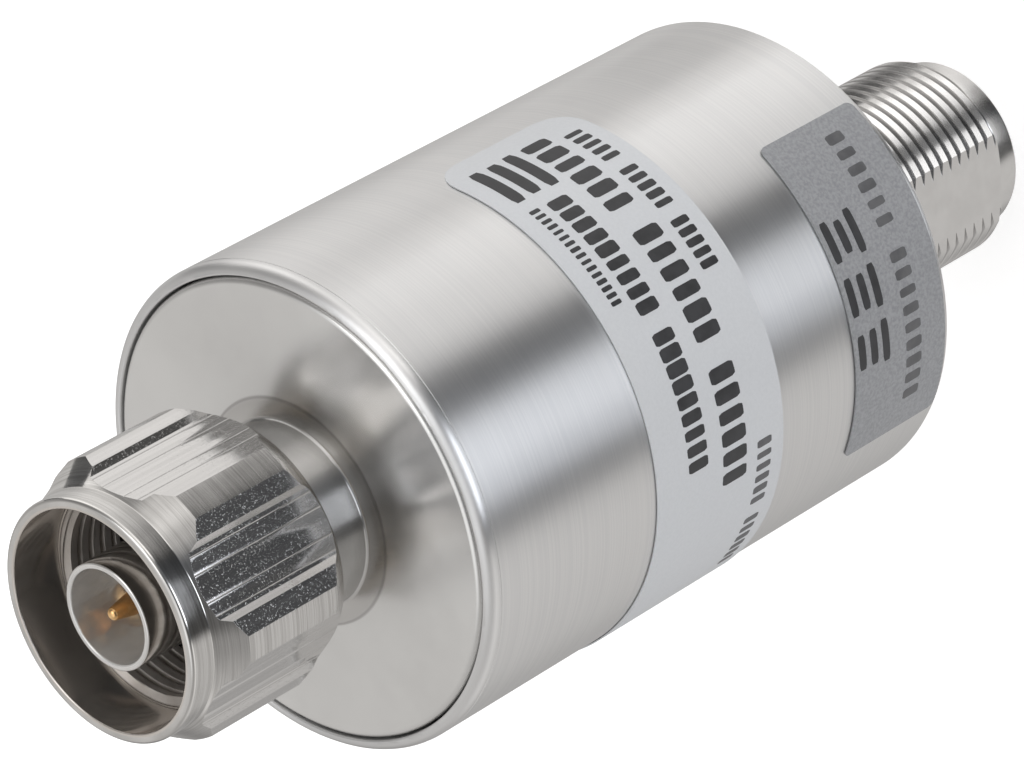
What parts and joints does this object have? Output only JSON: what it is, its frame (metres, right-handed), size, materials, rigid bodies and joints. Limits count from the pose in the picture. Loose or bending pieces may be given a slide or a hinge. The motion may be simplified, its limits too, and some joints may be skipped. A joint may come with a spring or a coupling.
{
  "type": "coax lightning arrestor",
  "caption": "Inline coax lightning arrestor with a round satin aluminium body, an N plug with a free coupling nut at one end and a flatted N jack at the other.",
  "frame": {"origin": "centre of the jack's open end face, on the arrestor's axis", "axes": "+Z along the axis from the jack to the plug; -Y out of the jack's flat; +X to the right when the flat is seen with the plug up"},
  "size_m": [0.0368, 0.0366, 0.0897],
  "materials": {
    "turned_aluminium": "satin, with fine turning lines round it",
    "polished_plate": "polished plating",
    "nickel": "plated, with fine turning lines and grainy recesses",
    "gold_plate": "gold plated",
    "brass": "machined",
    "enamelled_copper": "enamelled wire",
    "steel": "plain",
    "spring_bronze": "plain spring strip",
    "black_rubber": "matte",
    "white_insulator": "matte",
    "white_ceramic": "ceramic",
    "blue_coating": "dipped coating",
    "black_epoxy": "moulded",
    "green_board": "solder-masked board",
    "white_film": "smooth film",
    "silver_film": "silver-grey film"
  },
  "bodies": {
    "arrestor_body": {"housing": "turned_aluminium", "front_cap": "polished_plate", "cap_seal": "black_rubber", "plug_ferrule": "polished_plate", "plug_gasket": "black_rubber", "plug_pin": "gold_plate", "plug_bead": "white_insulator", "nut_snap_ring": "spring_bronze", "jack_body": "polished_plate", "jack_seal": "black_rubber", "jack_socket": "gold_plate", "jack_bead": "white_insulator", "flange_screw_1": "steel", "flange_screw_2": "steel", "flange_screw_3": "steel", "standoff_1": "brass", "standoff_2": "brass", "standoff_3": "brass", "board_screw_1": "steel", "board_screw_2": "steel", "board_screw_3": "steel", "clip_screw": "steel", "circuit_board": "green_board", "coupling_capacitor": "black_epoxy", "varistor": "blue_coating", "suppressor_diode": "black_epoxy", "line_block": "brass", "surge_tube_sleeve": "white_ceramic", "surge_tube_line_electrode": "nickel", "surge_tube_ground_electrode": "nickel", "surge_tube_clip": "spring_bronze", "decoupling_coil": "enamelled_copper", "main_label": "white_film", "side_label": "silver_film"},
    "nut": {"coupling_nut": "nickel"}
  },
  "joints": [
    {"name": "nut_turn", "type": "hinge", "parent": "arrestor_body", "child": "nut", "pos_m": [0, 0, 0.0826], "axis": [0, 0, 1], "continuous": true}
  ]
}
